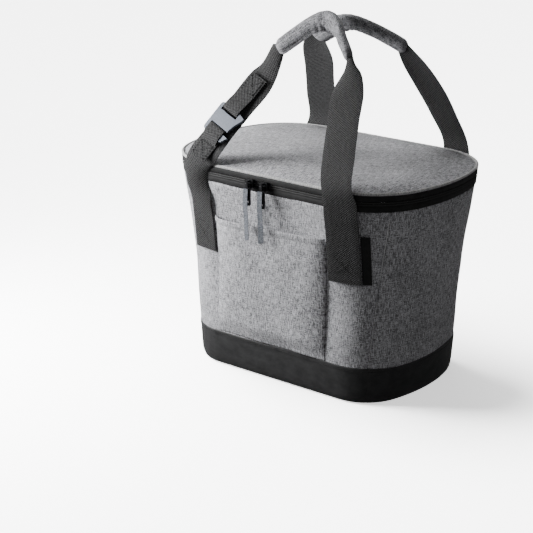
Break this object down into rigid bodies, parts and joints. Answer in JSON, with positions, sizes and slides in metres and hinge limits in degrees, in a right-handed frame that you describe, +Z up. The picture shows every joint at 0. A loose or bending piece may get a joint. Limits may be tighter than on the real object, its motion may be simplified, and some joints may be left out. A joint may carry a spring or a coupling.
{
  "type": "insulated cooler bag",
  "caption": "Collapsible insulated cooler bag with a zipped lid, padded walls, webbing carry handles with sewn grips, a front pocket and a hook buckle on one strap.",
  "frame": {"origin": "middle of the base, on the surface that the bag stands on", "axes": "+X along the front to the right, -Y out of the front pocket, +Z up towards the handles"},
  "size_m": [0.33, 0.2367, 0.4026],
  "materials": {
    "heather_fabric": "heathered woven polyester",
    "boot_fabric": "coated dark woven",
    "zip_tape": "matt black tape",
    "webbing": "ribbed webbing",
    "piping": "light grey binding",
    "woven_tag": "fine woven, blank",
    "pull_ribbon": "flat woven ribbon",
    "foam": "closed-cell foam",
    "lining": "satin film",
    "board": "matt",
    "wire": "spring wire",
    "zip_coil": "satin nylon",
    "zip_metal": "satin black",
    "buckle_metal": "satin anodised"
  },
  "bodies": {
    "base": {"base_panel": "boot_fabric", "boot": "boot_fabric", "base_board": "board", "base_foam": "foam", "liner_floor": "lining", "liner_wall": "lining", "front_panel": "heather_fabric", "back_panel": "heather_fabric", "left_panel": "heather_fabric", "right_panel": "heather_fabric", "front_foam": "foam", "back_foam": "foam", "left_foam": "foam", "right_foam": "foam", "front_pocket": "heather_fabric", "pocket_hem": "heather_fabric", "front_left_foot": "webbing", "front_right_foot": "webbing", "back_left_foot": "webbing", "back_right_foot": "webbing", "side_tag": "woven_tag"},
    "rim": {"rim_wire": "wire", "rim_hem": "zip_tape", "lower_tape": "zip_tape", "lower_coil": "zip_coil", "hinge_tape": "zip_tape", "zip_stops": "zip_metal"},
    "lid": {"upper_coil": "zip_coil", "upper_tape": "zip_tape", "lid_piping": "piping", "lid_top": "heather_fabric", "lid_foam": "foam", "lid_liner": "lining"},
    "front_handle": {"front_left_strap": "webbing", "front_right_strap": "webbing", "front_grip_sleeve": "heather_fabric", "front_grip_core": "webbing", "buckle_strap_upper": "webbing", "buckle_strap_lower": "webbing"},
    "back_handle": {"back_left_strap": "webbing", "back_right_strap": "webbing", "back_grip_sleeve": "heather_fabric", "back_grip_core": "webbing"},
    "left_slider": {"slider_left": "zip_metal"},
    "right_slider": {"slider_right": "zip_metal"},
    "left_pull": {"pull_left": "zip_metal", "ribbon_left": "pull_ribbon"},
    "right_pull": {"pull_right": "zip_metal", "ribbon_right": "pull_ribbon"},
    "hook": {"buckle": "buckle_metal", "buckle_loop": "webbing"}
  },
  "joints": [
    {"name": "collapse", "type": "slide", "parent": "base", "child": "rim", "axis": [0, 0, -1], "range_m": [0, 0.165], "deforming": ["boot", "front_panel", "back_panel", "left_panel", "right_panel", "front_foam", "back_foam", "left_foam", "right_foam", "liner_wall", "front_pocket", "pocket_hem", "front_left_foot", "front_right_foot", "back_left_foot", "back_right_foot", "side_tag"]},
    {"name": "lid_hinge", "type": "hinge", "parent": "rim", "child": "lid", "pos_m": [0, 0.1096, 0.2295], "axis": [-1, 0, 0], "range_deg": [0, 100]},
    {"name": "front_handle_hinge", "type": "hinge", "parent": "rim", "child": "front_handle", "pos_m": [0, -0.1085, 0.2142], "axis": [1, 0, 0], "range_deg": [0, 121]},
    {"name": "back_handle_hinge", "type": "hinge", "parent": "rim", "child": "back_handle", "pos_m": [0, 0.1085, 0.2142], "axis": [-1, 0, 0], "range_deg": [0, 121]},
    {"name": "left_slider_slide", "type": "slide", "parent": "rim", "child": "left_slider", "axis": [-1, 0, 0], "range_m": [0, 0.046]},
    {"name": "right_slider_slide", "type": "slide", "parent": "rim", "child": "right_slider", "axis": [1, 0, 0], "range_m": [0, 0.066]},
    {"name": "left_pull_hinge", "type": "hinge", "parent": "left_slider", "child": "left_pull", "pos_m": [-0.02, -0.1142, 0.2295], "axis": [-1, 0, 0], "range_deg": [0, 110]},
    {"name": "right_pull_hinge", "type": "hinge", "parent": "right_slider", "child": "right_pull", "pos_m": [-0.0005, -0.1142, 0.2295], "axis": [-1, 0, 0], "range_deg": [0, 110]},
    {"name": "hook_hinge", "type": "hinge", "parent": "front_handle", "child": "hook", "pos_m": [-0.06649, -0.08487, 0.29689], "axis": [-0.9287, 0.2132, 0.3034], "range_deg": [0, 18]}
  ],
  "couplings": [
    {"joint": "front_handle_hinge", "follows": "lid_hinge", "ratio": 1.2},
    {"joint": "back_handle_hinge", "follows": "lid_hinge", "ratio": 1.2}
  ]
}
